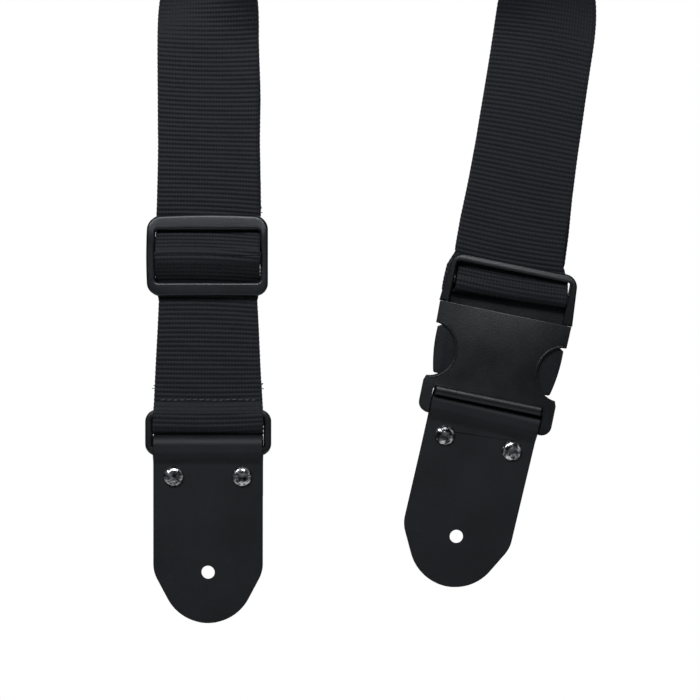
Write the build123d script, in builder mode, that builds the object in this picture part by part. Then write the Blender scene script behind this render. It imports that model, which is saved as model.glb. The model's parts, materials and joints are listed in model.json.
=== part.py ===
from build123d import *
from math import acos, atan2, cos, pi, radians, sin, sqrt, tan
import os

# A guitar strap of 50 mm webbing, hung by the middle of its length as over a shoulder.
# Both leather ends face the front (-Y). Millimetres, +Z up.
# The origin is the hang point: the underside of the shoulder loop at its highest place.

# ---------------------------------------------------------------- driving dimensions

# webbing, one long band that runs doubled between the adjuster and the buckle
webbing_width = 50.0
webbing_thickness = 1.4
layer_gap = 0.4              # between the two layers of the doubled run
shoulder_radius = 85.0       # middle of the doubled band where it goes over the shoulder
twist_length = 90.0          # height in which each side turns from edge-on to face-on
right_run_length = 121.3     # face-on stretch from the twist down to the buckle's bar
right_run_lean = 8.8         # degrees, the right side leans in towards its lower end
right_run_inset = 5.0        # the lean brings the top of the run in from the loop's foot
webbing_clearance = 0.3      # webbing to the plastic that it runs through
rear_turn_share = 0.36       # how far the webbing's bend sinks below the bar's rounded edge

# slider, the three-bar adjuster
adjuster_drop = 103.8        # from the twist down to the slider's centre
slider_play = 0.8            # webbing's edge to the side of the window
slider_side = 3.8
slider_window_width = webbing_width + 2 * slider_play
slider_width = slider_window_width + 2 * slider_side
slider_height = 39.5
slider_window_height = 25.6
slider_thickness = 4.0
slider_corner = 6.5
slider_window_corner = 1.6
slider_round = 1.5
centre_bar_height = 5.0
centre_bar_thickness = 3.0
tail_length = 38.0           # sewn end of the webbing above the slider's centre

# ring, the rectangular loop between the webbing and the left leather end
ring_drop = 77.8             # slider's centre to the middle of the ring's upper bar
ring_height = 22.9
ring_bar = 4.6
ring_side = 3.8
ring_play = 0.3              # leather's edge to the side of the ring
ring_corner = 6.0
ring_window_corner = 0.8
ring_round = 1.5
hem_length = 14.6            # sewn hem above the ring's upper bar
hem_stitch_height = 7.0
fold_gap = 0.4               # between the webbing's loop and the leather's fold

# leather ends
leather_margin = 2.0         # the leather stands out past each edge of the webbing
leather_width = webbing_width + 2 * leather_margin
ring_width = leather_width + 2 * (ring_play + ring_side)
leather_thickness = 2.4
leather_length = 93.0        # fold to tip
leaf_gap = 0.1
leaf_turn_in = 0.7           # the leaves start to draw in this far above the bar's lower face
leaf_join_height = 7.1       # and lie together from this far above the rivets
leaf_bend = 4.0
back_leaf_length = 31.0      # fold to the end of the turned-back leaf
point_length = 25.2
tip_radius = 22.6
shoulder_round = 16.0
ring_fold_slack = 3.0        # middle of the fold above the middle of the ring's bar
buckle_fold_slack = 1.2      # the same at the buckle's end bar
tab_clearance = 0.3
rivet_drop = 20.7            # fold to the rivets
rivet_spacing = 33.7
rivet_cap_radius = 5.0
rivet_cap_height = 2.3
rivet_post_radius = 1.6
rivet_back_radius = 4.5
rivet_rim = 0.5              # straight edge of the front cap
rivet_back_rim = 0.4
rivet_back_height = 1.3
rivet_post_play = 0.05
button_hole_radius = 3.3
button_hole_height = 25.0    # tip to the middle of the hole
button_slit_length = 3.4
button_slit_width = 0.3
button_slit_overlap = 0.2    # the slit's foot runs into the hole

# side-release buckle, in its own directions: down is away from the webbing
buckle_lean = 11.6
buckle_side_shift = 2.6      # the webbing sits to the left in the buckle's window
buckle_play = 3.5            # webbing's edge to the side of the window
male_window_half_width = webbing_width / 2 + buckle_play
male_top_side = 2.75
male_base_side = 4.7
male_top_half_width = male_window_half_width + male_top_side
male_base_half_width = male_window_half_width + male_base_side
male_corner = 6.5
male_window_corner = 1.5
male_edge_chamfer = 0.8
frame_joint = 0.5            # pieces of one moulding run this far into each other
male_bar_drop = 13.0         # top of the frame to the middle of the webbing's bar
male_bar_radius = 2.3
male_bar_play = 0.4
male_thickness = 9.0
male_top_bar_height = 3.8
male_top_bar_back = 0.8      # back of the top bar in front of the middle plane
male_shoulder_drop = 25.0
male_base_height = 4.6
web_left_drop = 5.1          # middle of the bar to the web's upper edge, which follows the
web_right_drop = 3.0         # webbing's lean
web_front = 3.4              # middle plane to the web's front face
web_thickness = 1.1
female_side = 4.2            # side of the window to the side of the female half
ear_step = 0.3
female_half_width = male_window_half_width + female_side
female_ear_half_width = female_half_width + ear_step
female_waist = 0.8
ear_top_rise = 6.0           # waist above the slot
ear_shoulder = 3.0
ear_corner = 5.0
mouth_wall = 1.0
female_half_thickness = 7.4
female_edge_half_thickness = 5.5
mouth_half_width = female_half_width - mouth_wall
cavity_half_thickness = 4.8
cavity_depth = 39.5
cutout_middle = 24.0         # mouth to the middle of the side cut-outs
cutout_half_height = 13.2
cutout_depth = 12.0
slot_drop = 42.8             # mouth to the top of the leather's slot
slot_play = 0.7              # leather's edge to the side of the slot
slot_headroom = 1.4          # over the leather's fold
slot_half_width = leather_width / 2 + slot_play
end_bar = 4.4
end_bar_round = 1.4
ear_length = 2.3             # the ears reach below the end bar
lip_half_height = 2.4
lip_half_depth = 1.7
lip_drop = 0.6               # middle of the lip below the slot's upper edge
lip_sink = 0.5               # middle of the lip behind the front face
lip_end_play = 1.7           # end of the lip inside the slot's side
lip_half_length = slot_half_width - lip_end_play
tongue_half_width = 7.0
tongue_length = 32.0
tongue_thickness = 4.0
tongue_corner = 3.0
guide_wall = 1.5
slide_clearance = 0.3
arm_root_gap = 0.45
arm_root_inset = 1.5
arm_root_side = male_window_half_width - arm_root_inset
arm_thickness = 2.6
press_top = 12.5             # mouth to the top of the press tab
press_length = 22.8
press_width = 8.3
press_inner_side = male_window_half_width - press_width
press_inner_slope = 3.0
press_corner = 1.2
press_rim = 0.7
press_bulge = 0.25           # the press tab's side curves in from its top to its end
base_inset = 0.3             # the male base starts below the mouth
rail_width = 1.8
rail_inset = 1.4
press_end_taper = 2.4
tab_lean = 13.2              # the right leather end hangs a little askew of the buckle

# thread
stitch_radius = 0.3
stitch_length = 2.3
stitch_pitch = 3.2

# ---------------------------------------------------------------- shared places

half_webbing = webbing_thickness / 2
layer_pitch = webbing_thickness + layer_gap
front_layer = -layer_pitch / 2
back_layer = layer_pitch / 2
tail_layer = back_layer + layer_pitch

loop_foot_z = -(shoulder_radius - layer_pitch / 2 - half_webbing)
run_top_z = loop_foot_z - twist_length
left_x = -shoulder_radius
slider_z = run_top_z - adjuster_drop
slider_y = front_layer - half_webbing - webbing_clearance - slider_thickness / 2
upper_bar_z = slider_z - ring_drop
bar_spacing = ring_height - ring_bar
lower_bar_z = upper_bar_z - bar_spacing


def corner_reach(side, rounding):
    """How far a square bar with rounded edges reaches from its middle."""
    return side / sqrt(2) - rounding * (sqrt(2) - 1)


def side_plane(origin, lean):
    """A plane across the strap: local x to the back, local y up the leaning run."""
    lean = radians(lean)
    return Plane(origin=origin, x_dir=(0, 1, 0), z_dir=(cos(lean), 0, -sin(lean)))


def face_plane(origin, lean):
    """A plane facing the front: local x to the right, local y up, z to the front."""
    lean = radians(lean)
    return Plane(origin=origin, x_dir=(cos(lean), 0, -sin(lean)), z_dir=(0, -1, 0))


def along(origin, lean, right=0.0, up=0.0, y=0.0):
    """A point moved right and up in a leaning frame, and back by y."""
    lean = radians(lean)
    return Vector(origin) + Vector(
        right * cos(lean) + up * sin(lean), y, up * cos(lean) - right * sin(lean)
    )


run_top = Vector(shoulder_radius - right_run_inset, 0, run_top_z)
run_bottom = along(run_top, right_run_lean, up=-right_run_length)
male_bar_y = back_layer - half_webbing - male_bar_play - male_bar_radius
buckle_bar = along(run_bottom, buckle_lean, right=buckle_side_shift, y=male_bar_y)
mouth = along(buckle_bar, buckle_lean, up=male_bar_drop - male_shoulder_drop)

ring_bar_reach = corner_reach(ring_bar, ring_round)
webbing_loop = ring_bar_reach + webbing_clearance + half_webbing
ring_tab_fold = ring_bar_reach + tab_clearance + leather_thickness / 2
left_fold_reach = ring_fold_slack + ring_tab_fold + leather_thickness / 2
fold_straight = ring_fold_slack + ring_bar / 2 - leaf_turn_in
webbing_loop_drop = bar_spacing - left_fold_reach - fold_gap - webbing_loop - half_webbing

buckle_tab_fold = corner_reach(end_bar, end_bar_round) + tab_clearance + leather_thickness / 2
right_fold_reach = buckle_fold_slack + buckle_tab_fold + leather_thickness / 2
slot_height = right_fold_reach - end_bar / 2 + slot_headroom
end_bar_drop = slot_drop + slot_height + end_bar / 2
end_bar_middle = along(mouth, buckle_lean, up=-end_bar_drop)
female_length = end_bar_drop + end_bar / 2 + ear_length

# ---------------------------------------------------------------- webbing

bulge_turn_z = 3.0           # the webbing leaves the front of the centre bar
wrap_lift = 1.3              # middle of the webbing's turn above the bar's lower face
hem_taper = 3.2              # height in which the hem opens out to the ring's bar
bend_radius = slider_round + webbing_clearance + half_webbing
rear_turn_z = slider_window_height / 2 + slider_round - rear_turn_share * bend_radius
wrap_offset = centre_bar_thickness / 2 + webbing_clearance + half_webbing
wrap_front = slider_y - wrap_offset
wrap_rear = slider_y + wrap_offset
over_front = wrap_front - webbing_thickness - webbing_clearance
turn = atan2(front_layer - over_front, rear_turn_z - bulge_turn_z)
wrap_lag = layer_pitch * tan(turn / 2)
wrap_round_z = wrap_lift - centre_bar_height / 2
hem_turn = webbing_loop - back_layer + hem_taper


def twist_section(side, share, layer):
    """The band's section at a share of the twist's height, from the run to the loop."""
    ease = share * share * (3 - 2 * share)
    angle = radians(90 * ease)
    face = Vector(side * sin(angle), -cos(angle), 0)
    top_x = run_top.X if side > 0 else left_x
    lean = radians(right_run_lean) * (1 - share) if side > 0 else 0.0
    slope = tan(radians(right_run_lean)) if side > 0 else 0.0
    end_x = side * shoulder_radius
    middle_x = top_x + (end_x - top_x) * ease
    middle_x += slope * twist_length * share * (1 - share) ** 2
    middle = Vector(middle_x, 0, run_top_z + twist_length * share) - face * layer
    up = Vector(sin(lean), 0, cos(lean))
    across = up.cross(face)
    return Plane(origin=middle, x_dir=across, z_dir=across.cross(face))


with BuildPart() as webbing:
    # the outer layer on the left: hem, round the ring, up and over the slider's bar
    with BuildSketch(side_plane((left_x, 0, slider_z), 0)):
        with BuildLine():
            hem = FilletPolyline(
                (back_layer, hem_length - ring_drop),
                (back_layer, hem_turn - ring_drop),
                (webbing_loop, 0.4 - ring_drop),
                (webbing_loop, -webbing_loop_drop - ring_drop),
                radius=[3.0, 2.0],
            )
            loop_end = ThreePointArc(
                hem @ 1,
                (0, -webbing_loop_drop - webbing_loop - ring_drop),
                (-webbing_loop, -webbing_loop_drop - ring_drop),
            )
            FilletPolyline(
                loop_end @ 1,
                (-webbing_loop, 0.4 - ring_drop),
                (front_layer, hem_turn - ring_drop),
                (front_layer, -rear_turn_z),
                (over_front, -bulge_turn_z),
                (over_front, bulge_turn_z),
                (front_layer, rear_turn_z),
                (front_layer, adjuster_drop),
                radius=[2.0, 3.0, bend_radius, 3.8, 3.8, bend_radius],
            )
        trace(line_width=webbing_thickness)
    extrude(amount=webbing_width / 2, both=True)
    # the inner layer on the left: down to the slider's bar, round it and up as the tail
    with BuildSketch(side_plane((left_x, 0, slider_z), 0)):
        with BuildLine():
            down = FilletPolyline(
                (back_layer, adjuster_drop),
                (back_layer, rear_turn_z - wrap_lag),
                (wrap_front, bulge_turn_z - wrap_lag),
                (wrap_front, wrap_round_z),
                radius=[bend_radius + layer_pitch, 2.0],
            )
            under = ThreePointArc(
                down @ 1,
                (slider_y, wrap_round_z - wrap_offset),
                (wrap_rear, wrap_round_z),
            )
            FilletPolyline(
                under @ 1,
                (wrap_rear, 1.2),
                (tail_layer, 9.5),
                (tail_layer, tail_length),
                radius=[3.0, 4.0],
            )
        trace(line_width=webbing_thickness)
    extrude(amount=webbing_width / 2, both=True)
    # both layers on the right: down behind the buckle's top bar, round its bar and back up
    with BuildSketch(side_plane(run_bottom, right_run_lean)):
        with BuildLine():
            front_run = FilletPolyline(
                (front_layer, right_run_length),
                (front_layer, 9.0),
                (2 * male_bar_y - back_layer, 2.2),
                (2 * male_bar_y - back_layer, -1.2),
                radius=[3.0, 2.5],
            )
            bar_turn = ThreePointArc(
                front_run @ 1,
                (male_bar_y, -1.2 - back_layer + male_bar_y),
                (back_layer, -1.2),
            )
            Line(bar_turn @ 1, (back_layer, right_run_length))
        trace(line_width=webbing_thickness)
    extrude(amount=webbing_width / 2, both=True)
    # the twists, and the loop over the shoulder
    for layer in (front_layer, back_layer):
        for side in (-1, 1):
            for step in range(9):
                with BuildSketch(twist_section(side, step / 8, layer)):
                    Rectangle(webbing_width, webbing_thickness)
            loft()
        with BuildSketch(Plane.XZ.offset(-webbing_width / 2)):
            with BuildLine():
                CenterArc((0, loop_foot_z), shoulder_radius - layer, 0, 180)
            trace(line_width=webbing_thickness)
        extrude(amount=webbing_width)
webbing.part.label = "webbing"

# ---------------------------------------------------------------- thread


def stitch_row(y, z):
    """One row of sewing right across the left side of the webbing, on one face."""
    count = int((webbing_width - 2) / stitch_pitch)
    with Locations((left_x, y, z)):
        with GridLocations(stitch_pitch, 1, count, 1):
            Cylinder(stitch_radius, stitch_length, rotation=(0, 90, 0))


hem_stitch_z = upper_bar_z + hem_stitch_height
with BuildPart() as hem_stitching:
    stitch_row(front_layer - half_webbing, hem_stitch_z)
    stitch_row(back_layer + half_webbing, hem_stitch_z)
hem_stitching.part.label = "hem_stitching"

tail_rows = []
for name, height in (("tail_stitching_lower", 19.0), ("tail_stitching_upper", 33.0)):
    with BuildPart() as tail_row:
        stitch_row(tail_layer + half_webbing, slider_z + height)
    tail_row.part.label = name
    tail_rows.append(tail_row.part)

# ---------------------------------------------------------------- slider

with BuildPart() as slider_frame:
    with BuildSketch(face_plane((left_x, slider_y, slider_z), 0)):
        RectangleRounded(slider_width, slider_height, slider_corner)
        RectangleRounded(
            slider_window_width, slider_window_height, slider_window_corner, mode=Mode.SUBTRACT
        )
    extrude(amount=slider_thickness / 2, both=True)
    fillet(slider_frame.edges().filter_by(Axis.Y, reverse=True), slider_round)
    with BuildSketch(Plane.YZ.offset(left_x)):
        with Locations((slider_y, slider_z)):
            RectangleRounded(centre_bar_thickness, centre_bar_height, centre_bar_thickness / 2 - 0.1)
    extrude(amount=slider_window_width / 2 + slider_round, both=True)
slider_frame.part.label = "slider_frame"

# ---------------------------------------------------------------- ring

ring_z = (upper_bar_z + lower_bar_z) / 2
with BuildPart() as ring:
    with BuildSketch(face_plane((left_x, 0, ring_z), 0)):
        RectangleRounded(ring_width, ring_height, ring_corner)
        RectangleRounded(
            ring_width - 2 * ring_side,
            ring_height - 2 * ring_bar,
            ring_window_corner,
            mode=Mode.SUBTRACT,
        )
    extrude(amount=ring_bar / 2, both=True)
    fillet(ring.edges().filter_by(Axis.Y, reverse=True), ring_round)
ring.part.label = "ring"

# ---------------------------------------------------------------- leather ends


def point_touch():
    """Where the straight side of the leather's point meets its rounded tip."""
    half = leather_width / 2
    reach = sqrt(half**2 + (point_length - tip_radius) ** 2)
    heading = atan2(point_length - tip_radius, half) - acos(tip_radius / reach)
    return tip_radius * cos(heading), tip_radius * (1 + sin(heading)) - leather_length


def leather_end(label, fold, lean, fold_radius):
    """A leather end folded over a bar. fold is the top of the fold, on the middle plane."""
    leaf = (leather_thickness + leaf_gap) / 2
    turn_y = -leather_thickness / 2 - fold_radius
    with BuildPart() as end:
        with BuildSketch(side_plane(fold, lean)):
            with BuildLine():
                back = FilletPolyline(
                    (leaf, -back_leaf_length),
                    (leaf, leaf_join_height - rivet_drop),
                    (fold_radius, turn_y - fold_straight),
                    (fold_radius, turn_y),
                    radius=leaf_bend,
                )
                over = ThreePointArc(back @ 1, (0, -leather_thickness / 2), (-fold_radius, turn_y))
                FilletPolyline(
                    over @ 1,
                    (-fold_radius, turn_y - fold_straight),
                    (-leaf, leaf_join_height - rivet_drop),
                    (-leaf, -leather_length - leather_thickness),
                    radius=leaf_bend,
                )
            trace(line_width=leather_thickness)
        extrude(amount=leather_width, both=True)
        with BuildSketch(face_plane(fold, lean)) as outline:
            half = leather_width / 2
            touch_x, touch_y = point_touch()
            with BuildLine():
                Polyline(
                    (-touch_x, touch_y),
                    (-half, point_length - leather_length),
                    (-half, leather_thickness),
                    (half, leather_thickness),
                    (half, point_length - leather_length),
                    (touch_x, touch_y),
                )
                ThreePointArc((touch_x, touch_y), (0, -leather_length), (-touch_x, touch_y))
            make_face()
            sides = outline.vertices().filter_by(lambda v: abs(abs(v.X) - half) < 0.01)
            fillet(sides.sort_by(Axis.Y)[:2], shoulder_round)
        extrude(amount=3 * fold_radius, both=True, mode=Mode.INTERSECT)
        with BuildSketch(face_plane(fold, lean)):
            with Locations((0, button_hole_height - leather_length)):
                Circle(button_hole_radius)
                with Locations((0, button_hole_radius + button_slit_length / 2 - button_slit_overlap)):
                    Rectangle(button_slit_width, button_slit_length + 2 * button_slit_overlap)
            with Locations((0, -rivet_drop)):
                with GridLocations(rivet_spacing, 1, 2, 1):
                    Circle(rivet_post_radius)
        extrude(amount=3 * fold_radius, both=True, mode=Mode.SUBTRACT)
    end.part.label = label
    return end.part


def rivet(name, fold, lean, side):
    """A double-cap rivet: a domed cap in front, and a post with its own cap behind."""
    surface = leather_thickness + leaf_gap / 2
    place = along(fold, lean, right=side * rivet_spacing / 2, up=-rivet_drop)
    profile = Plane(origin=place, x_dir=(1, 0, 0), z_dir=(0, 0, -1))
    with BuildPart() as cap:
        with BuildSketch(profile):
            with BuildLine():
                Line((0, surface), (rivet_cap_radius, surface))
                Line((rivet_cap_radius, surface), (rivet_cap_radius, surface + rivet_rim))
                Spline(
                    (rivet_cap_radius, surface + rivet_rim),
                    (0, surface + rivet_cap_height),
                    tangents=[(-0.4, 1), (-1, 0)],
                )
                Line((0, surface + rivet_cap_height), (0, surface))
            make_face()
        revolve(axis=Axis(place, (0, -1, 0)))
    cap.part.label = name + "_cap"
    with BuildPart() as post:
        with BuildSketch(profile):
            with BuildLine():
                Polyline(
                    (0, surface - rivet_post_play),
                    (rivet_post_radius - rivet_post_play, surface - rivet_post_play),
                    (rivet_post_radius - rivet_post_play, -surface),
                    (rivet_back_radius, -surface),
                    (rivet_back_radius, -surface - rivet_back_rim),
                )
                Spline(
                    (rivet_back_radius, -surface - rivet_back_rim),
                    (0, -surface - rivet_back_height),
                    tangents=[(-0.6, -1), (-1, 0)],
                )
                Line((0, -surface - rivet_back_height), (0, surface - rivet_post_play))
            make_face()
        revolve(axis=Axis(place, (0, -1, 0)))
    post.part.label = name + "_post"
    return [cap.part, post.part]


left_fold = Vector(left_x, 0, lower_bar_z + left_fold_reach)
left_leather = leather_end("left_leather", left_fold, 0, ring_tab_fold)

right_fold = along(end_bar_middle, tab_lean, up=right_fold_reach)
right_leather = leather_end("right_leather", right_fold, tab_lean, buckle_tab_fold)

rivets = []
for end_name, fold, lean, inner in (("left", left_fold, 0, 1), ("right", right_fold, tab_lean, -1)):
    rivets += rivet(end_name + "_rivet_inner", fold, lean, inner)
    rivets += rivet(end_name + "_rivet_outer", fold, lean, -inner)

# ---------------------------------------------------------------- buckle, male half

with BuildPart() as male_frame:
    with BuildSketch(face_plane(buckle_bar, buckle_lean)) as male_outline:
        top = male_bar_drop
        base = male_bar_drop - male_shoulder_drop + slide_clearance
        with BuildLine():
            Polyline(
                (-male_base_half_width, base),
                (-male_top_half_width, top),
                (male_top_half_width, top),
                (male_base_half_width, base),
                close=True,
            )
        make_face()
        fillet(male_outline.vertices().sort_by(Axis.Y)[-2:], male_corner)
        with Locations((0, (top - male_top_bar_height + base) / 2)):
            Rectangle(
                2 * male_window_half_width, top - male_top_bar_height - base + 0.01, mode=Mode.SUBTRACT
            )
        window_corners = [v for v in male_outline.vertices() if abs(v.Y - top + male_top_bar_height) < 0.01]
        fillet(window_corners, male_window_corner)
    extrude(amount=male_thickness / 2, both=True)
    faces_out = male_frame.edges().filter_by(Axis.Y, reverse=True).group_by(Axis.Y)
    chamfer(faces_out[0] + faces_out[-1], male_edge_chamfer)
    # the top bar fills only the front of the frame
    with BuildSketch(face_plane(along(buckle_bar, 0, y=-male_top_bar_back), buckle_lean)):
        with Locations((0, top - male_top_bar_height / 2)):
            Rectangle(2 * male_window_half_width, male_top_bar_height + 4 * frame_joint)
    extrude(amount=-male_thickness, mode=Mode.SUBTRACT)
    with BuildSketch(side_plane(buckle_bar, buckle_lean)):
        Circle(male_bar_radius)
    extrude(amount=male_window_half_width + frame_joint, both=True)
    # a thin web behind the webbing's loop joins the frame to its base
    with BuildSketch(face_plane(along(buckle_bar, 0, y=web_front), buckle_lean)):
        with BuildLine():
            Polyline(
                (-male_window_half_width - frame_joint, base - frame_joint),
                (male_window_half_width + frame_joint, base - frame_joint),
                (male_window_half_width + frame_joint, -web_right_drop),
                (-male_window_half_width - frame_joint, -web_left_drop),
                close=True,
            )
        make_face()
    extrude(amount=-web_thickness)
    # the base, which goes into the mouth of the female half, and the tongue
    with BuildSketch(face_plane(mouth, buckle_lean)):
        with Locations((0, -male_base_height / 2 - base_inset)):
            Rectangle(2 * (mouth_half_width - 2 * slide_clearance), male_base_height)
    extrude(amount=cavity_half_thickness - 2 * slide_clearance, both=True)
    with BuildSketch(face_plane(mouth, buckle_lean)):
        for side in (-1, 1):
            with Locations((side * (male_window_half_width + rail_inset), 0)):
                Rectangle(rail_width, 4 * frame_joint)
    extrude(amount=cavity_half_thickness - 2 * slide_clearance, both=True)
    with BuildSketch(face_plane(mouth, buckle_lean)):
        with Locations((0, -male_base_height - tongue_length / 2)):
            RectangleRounded(2 * tongue_half_width, tongue_length + 2 * frame_joint, tongue_corner)
    extrude(amount=tongue_thickness / 2, both=True)
male_frame.part.label = "male_frame"

press_outer_side = mouth_half_width - slide_clearance
arm_top = male_base_height + base_inset + arm_root_gap
arms = []
for name, side in (("arm_left", -1), ("arm_right", 1)):
    with BuildPart() as arm:
        with BuildSketch(face_plane(mouth, buckle_lean)) as arm_outline:
            with BuildLine():
                Polyline(
                    (side * press_outer_side, -press_top),
                    (side * (arm_root_side + arm_thickness / 2), 2.0 - press_top),
                    (side * (arm_root_side + arm_thickness / 2), -arm_top),
                    (side * (arm_root_side - arm_thickness / 2), -arm_top),
                    (side * (arm_root_side - arm_thickness / 2), 1.0 - press_top),
                    (side * press_inner_side, -press_top - press_length * 0.25),
                    (side * press_inner_side, -press_top - press_length * 0.75),
                    (side * (press_inner_side + press_inner_slope), -press_top - press_length),
                    (side * (press_outer_side - press_end_taper), -press_top - press_length),
                )
                ThreePointArc(
                    (side * press_outer_side, -press_top),
                    (side * (press_outer_side - press_bulge), -press_top - press_length * 0.45),
                    (side * (press_outer_side - press_end_taper), -press_top - press_length),
                )
            make_face()
            fillet(arm_outline.vertices().group_by(Axis.Y)[0], press_corner)
        extrude(amount=cavity_half_thickness - slide_clearance, both=True)
        rim = arm.edges().filter_by(Axis.Y, reverse=True)
        fillet(rim.group_by(Axis.Y)[0] + rim.group_by(Axis.Y)[-1], press_rim)
    arm.part.label = name
    arms.append(arm.part)

# ---------------------------------------------------------------- buckle, female half

with BuildPart() as female_housing:
    with BuildSketch(face_plane(mouth, buckle_lean)) as female_outline:
        waist = ear_top_rise - slot_drop
        with BuildLine():
            Polyline(
                (-female_half_width, 0),
                (female_half_width, 0),
                (female_half_width - female_waist, waist),
                (female_ear_half_width, waist - ear_shoulder),
                (female_ear_half_width, -female_length),
                (-female_ear_half_width, -female_length),
                (-female_ear_half_width, waist - ear_shoulder),
                (-female_half_width + female_waist, waist),
                close=True,
            )
        make_face()
        fillet(female_outline.vertices().sort_by(Axis.Y)[:2], ear_corner)
        with Locations((-female_half_width, -cutout_middle), (female_half_width, -cutout_middle)):
            Ellipse(cutout_depth, cutout_half_height, mode=Mode.SUBTRACT)
        notch_top = -end_bar_drop - end_bar / 2
        with Locations((0, (notch_top - female_length) / 2 - 1.0)):
            Rectangle(2 * slot_half_width, notch_top + female_length + 2.0, mode=Mode.SUBTRACT)
        with Locations((0, -slot_drop - slot_height / 2)):
            Rectangle(2 * slot_half_width, slot_height, mode=Mode.SUBTRACT)
    extrude(amount=female_half_thickness, both=True)
    # both faces are domed from side to side
    top_plane = Plane(
        origin=mouth, x_dir=face_plane(mouth, buckle_lean).x_dir, z_dir=face_plane(mouth, buckle_lean).y_dir
    )
    with BuildSketch(top_plane):
        with BuildLine():
            side = female_ear_half_width + 1
            ThreePointArc(
                (-side, -female_edge_half_thickness),
                (0, -female_half_thickness),
                (side, -female_edge_half_thickness),
            )
            Line((side, -female_edge_half_thickness), (side, female_edge_half_thickness))
            ThreePointArc(
                (side, female_edge_half_thickness),
                (0, female_half_thickness),
                (-side, female_edge_half_thickness),
            )
            Line((-side, female_edge_half_thickness), (-side, -female_edge_half_thickness))
        make_face()
    extrude(amount=female_length + 5, both=True, mode=Mode.INTERSECT)
    # cavity for the male half, open at the mouth, with a channel for the tongue
    with BuildSketch(face_plane(mouth, buckle_lean)):
        with Locations((0, -cavity_depth / 2 + 1.0)):
            Rectangle(2 * mouth_half_width, cavity_depth + 2.0)
    extrude(amount=cavity_half_thickness, both=True, mode=Mode.SUBTRACT)
    with BuildSketch(face_plane(mouth, buckle_lean)):
        guide_top = -male_base_height - guide_wall
        for side in (-1, 1):
            with Locations(
                (
                    side * (tongue_half_width + 2 * slide_clearance + guide_wall / 2),
                    (guide_top - cavity_depth) / 2,
                )
            ):
                Rectangle(guide_wall, cavity_depth + guide_top + 0.5)
    extrude(amount=cavity_half_thickness + 0.2, both=True)
    # the end bar is thinner than the body
    for front in (-1, 1):
        with BuildSketch(face_plane(along(mouth, 0, y=front * end_bar / 2), buckle_lean)):
            with Locations((0, -end_bar_drop - 1.5)):
                Rectangle(2 * slot_half_width, end_bar + 3.2)
        extrude(amount=-front * female_half_thickness, mode=Mode.SUBTRACT)
    bar_edges = female_housing.edges().filter_by(lambda e: abs(e.length - 2 * slot_half_width) < 0.01)
    near_bar = [
        e for e in bar_edges if (e.center() - end_bar_middle).length < end_bar
    ]
    fillet(near_bar, end_bar_round)
    # rounded lip over the slot
    lip_y = lip_sink - female_half_thickness
    with BuildSketch(side_plane(along(mouth, buckle_lean, up=-slot_drop - lip_drop, y=lip_y), buckle_lean)):
        Ellipse(lip_half_depth, lip_half_height)
    extrude(amount=lip_half_length, both=True)
female_housing.part.label = "female_housing"

# ---------------------------------------------------------------- files

os.makedirs("parts", exist_ok=True)
pieces = [
    webbing.part,
    hem_stitching.part,
    *tail_rows,
    slider_frame.part,
    ring.part,
    left_leather,
    right_leather,
    *rivets,
    male_frame.part,
    *arms,
    female_housing.part,
]
for piece in pieces:
    export_step(piece, "parts/" + piece.label + ".step")

print("webbing volume", round(webbing.part.volume), "solids", len(webbing.part.solids()))
print("ring upper bar", (left_x, 0, upper_bar_z), "lower bar", (left_x, 0, lower_bar_z))
print("slider", (left_x, slider_y, slider_z))
print("buckle bar", buckle_bar, "mouth", mouth, "end bar", end_bar_middle)
print("left fold", left_fold, "right fold", right_fold)
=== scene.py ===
import json
import math
import bmesh
import bpy
from mathutils import Matrix, Vector


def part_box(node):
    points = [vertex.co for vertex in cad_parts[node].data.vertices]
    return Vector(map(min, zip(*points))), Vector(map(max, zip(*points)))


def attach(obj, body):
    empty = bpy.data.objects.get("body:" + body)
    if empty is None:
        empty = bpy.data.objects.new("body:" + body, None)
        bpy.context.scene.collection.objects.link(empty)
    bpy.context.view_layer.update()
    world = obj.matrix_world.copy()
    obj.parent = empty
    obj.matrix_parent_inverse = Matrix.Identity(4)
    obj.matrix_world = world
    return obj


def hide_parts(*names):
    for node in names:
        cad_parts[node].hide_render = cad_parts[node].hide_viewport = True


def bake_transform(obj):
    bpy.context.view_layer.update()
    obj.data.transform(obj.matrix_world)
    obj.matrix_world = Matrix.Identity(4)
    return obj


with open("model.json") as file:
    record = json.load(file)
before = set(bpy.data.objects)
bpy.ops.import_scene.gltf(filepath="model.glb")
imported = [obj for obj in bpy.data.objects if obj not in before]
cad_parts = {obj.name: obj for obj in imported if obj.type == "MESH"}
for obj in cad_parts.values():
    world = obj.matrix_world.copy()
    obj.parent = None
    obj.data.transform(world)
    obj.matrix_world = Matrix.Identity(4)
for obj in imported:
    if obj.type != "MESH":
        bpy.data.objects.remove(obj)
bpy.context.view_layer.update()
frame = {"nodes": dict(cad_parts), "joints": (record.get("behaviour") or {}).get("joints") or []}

joints = {joint["name"]: joint for joint in frame["joints"]}

# Camera: straight on to the front of the two hanging ends, with a long lens. It frames the
# adjuster end on the left and the buckle end on the right.
tip_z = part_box("left_leather")[0].z
framed_width = 0.3448
framed_middle_up = 0.1346    # from the left leather end's tip
lens = 120
sensor = 36
view_middle = Vector((-0.015, -0.003, tip_z + framed_middle_up))
camera_data = bpy.data.cameras.new("camera")
camera_data.lens = lens
camera_data.sensor_width = sensor
camera = bpy.data.objects.new("camera", camera_data)
bpy.context.collection.objects.link(camera)
camera.location = view_middle - Vector((0, framed_width * lens / sensor, 0))
camera.rotation_euler = (math.radians(90), 0, 0)
bpy.context.scene.camera = camera

# Studio: a white room that is seen white but lights the black strap only gently, brighter
# from above than from below, with soft lamps high in front and a weaker one on the right.
bpy.context.scene.view_settings.view_transform = "Standard"


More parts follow.
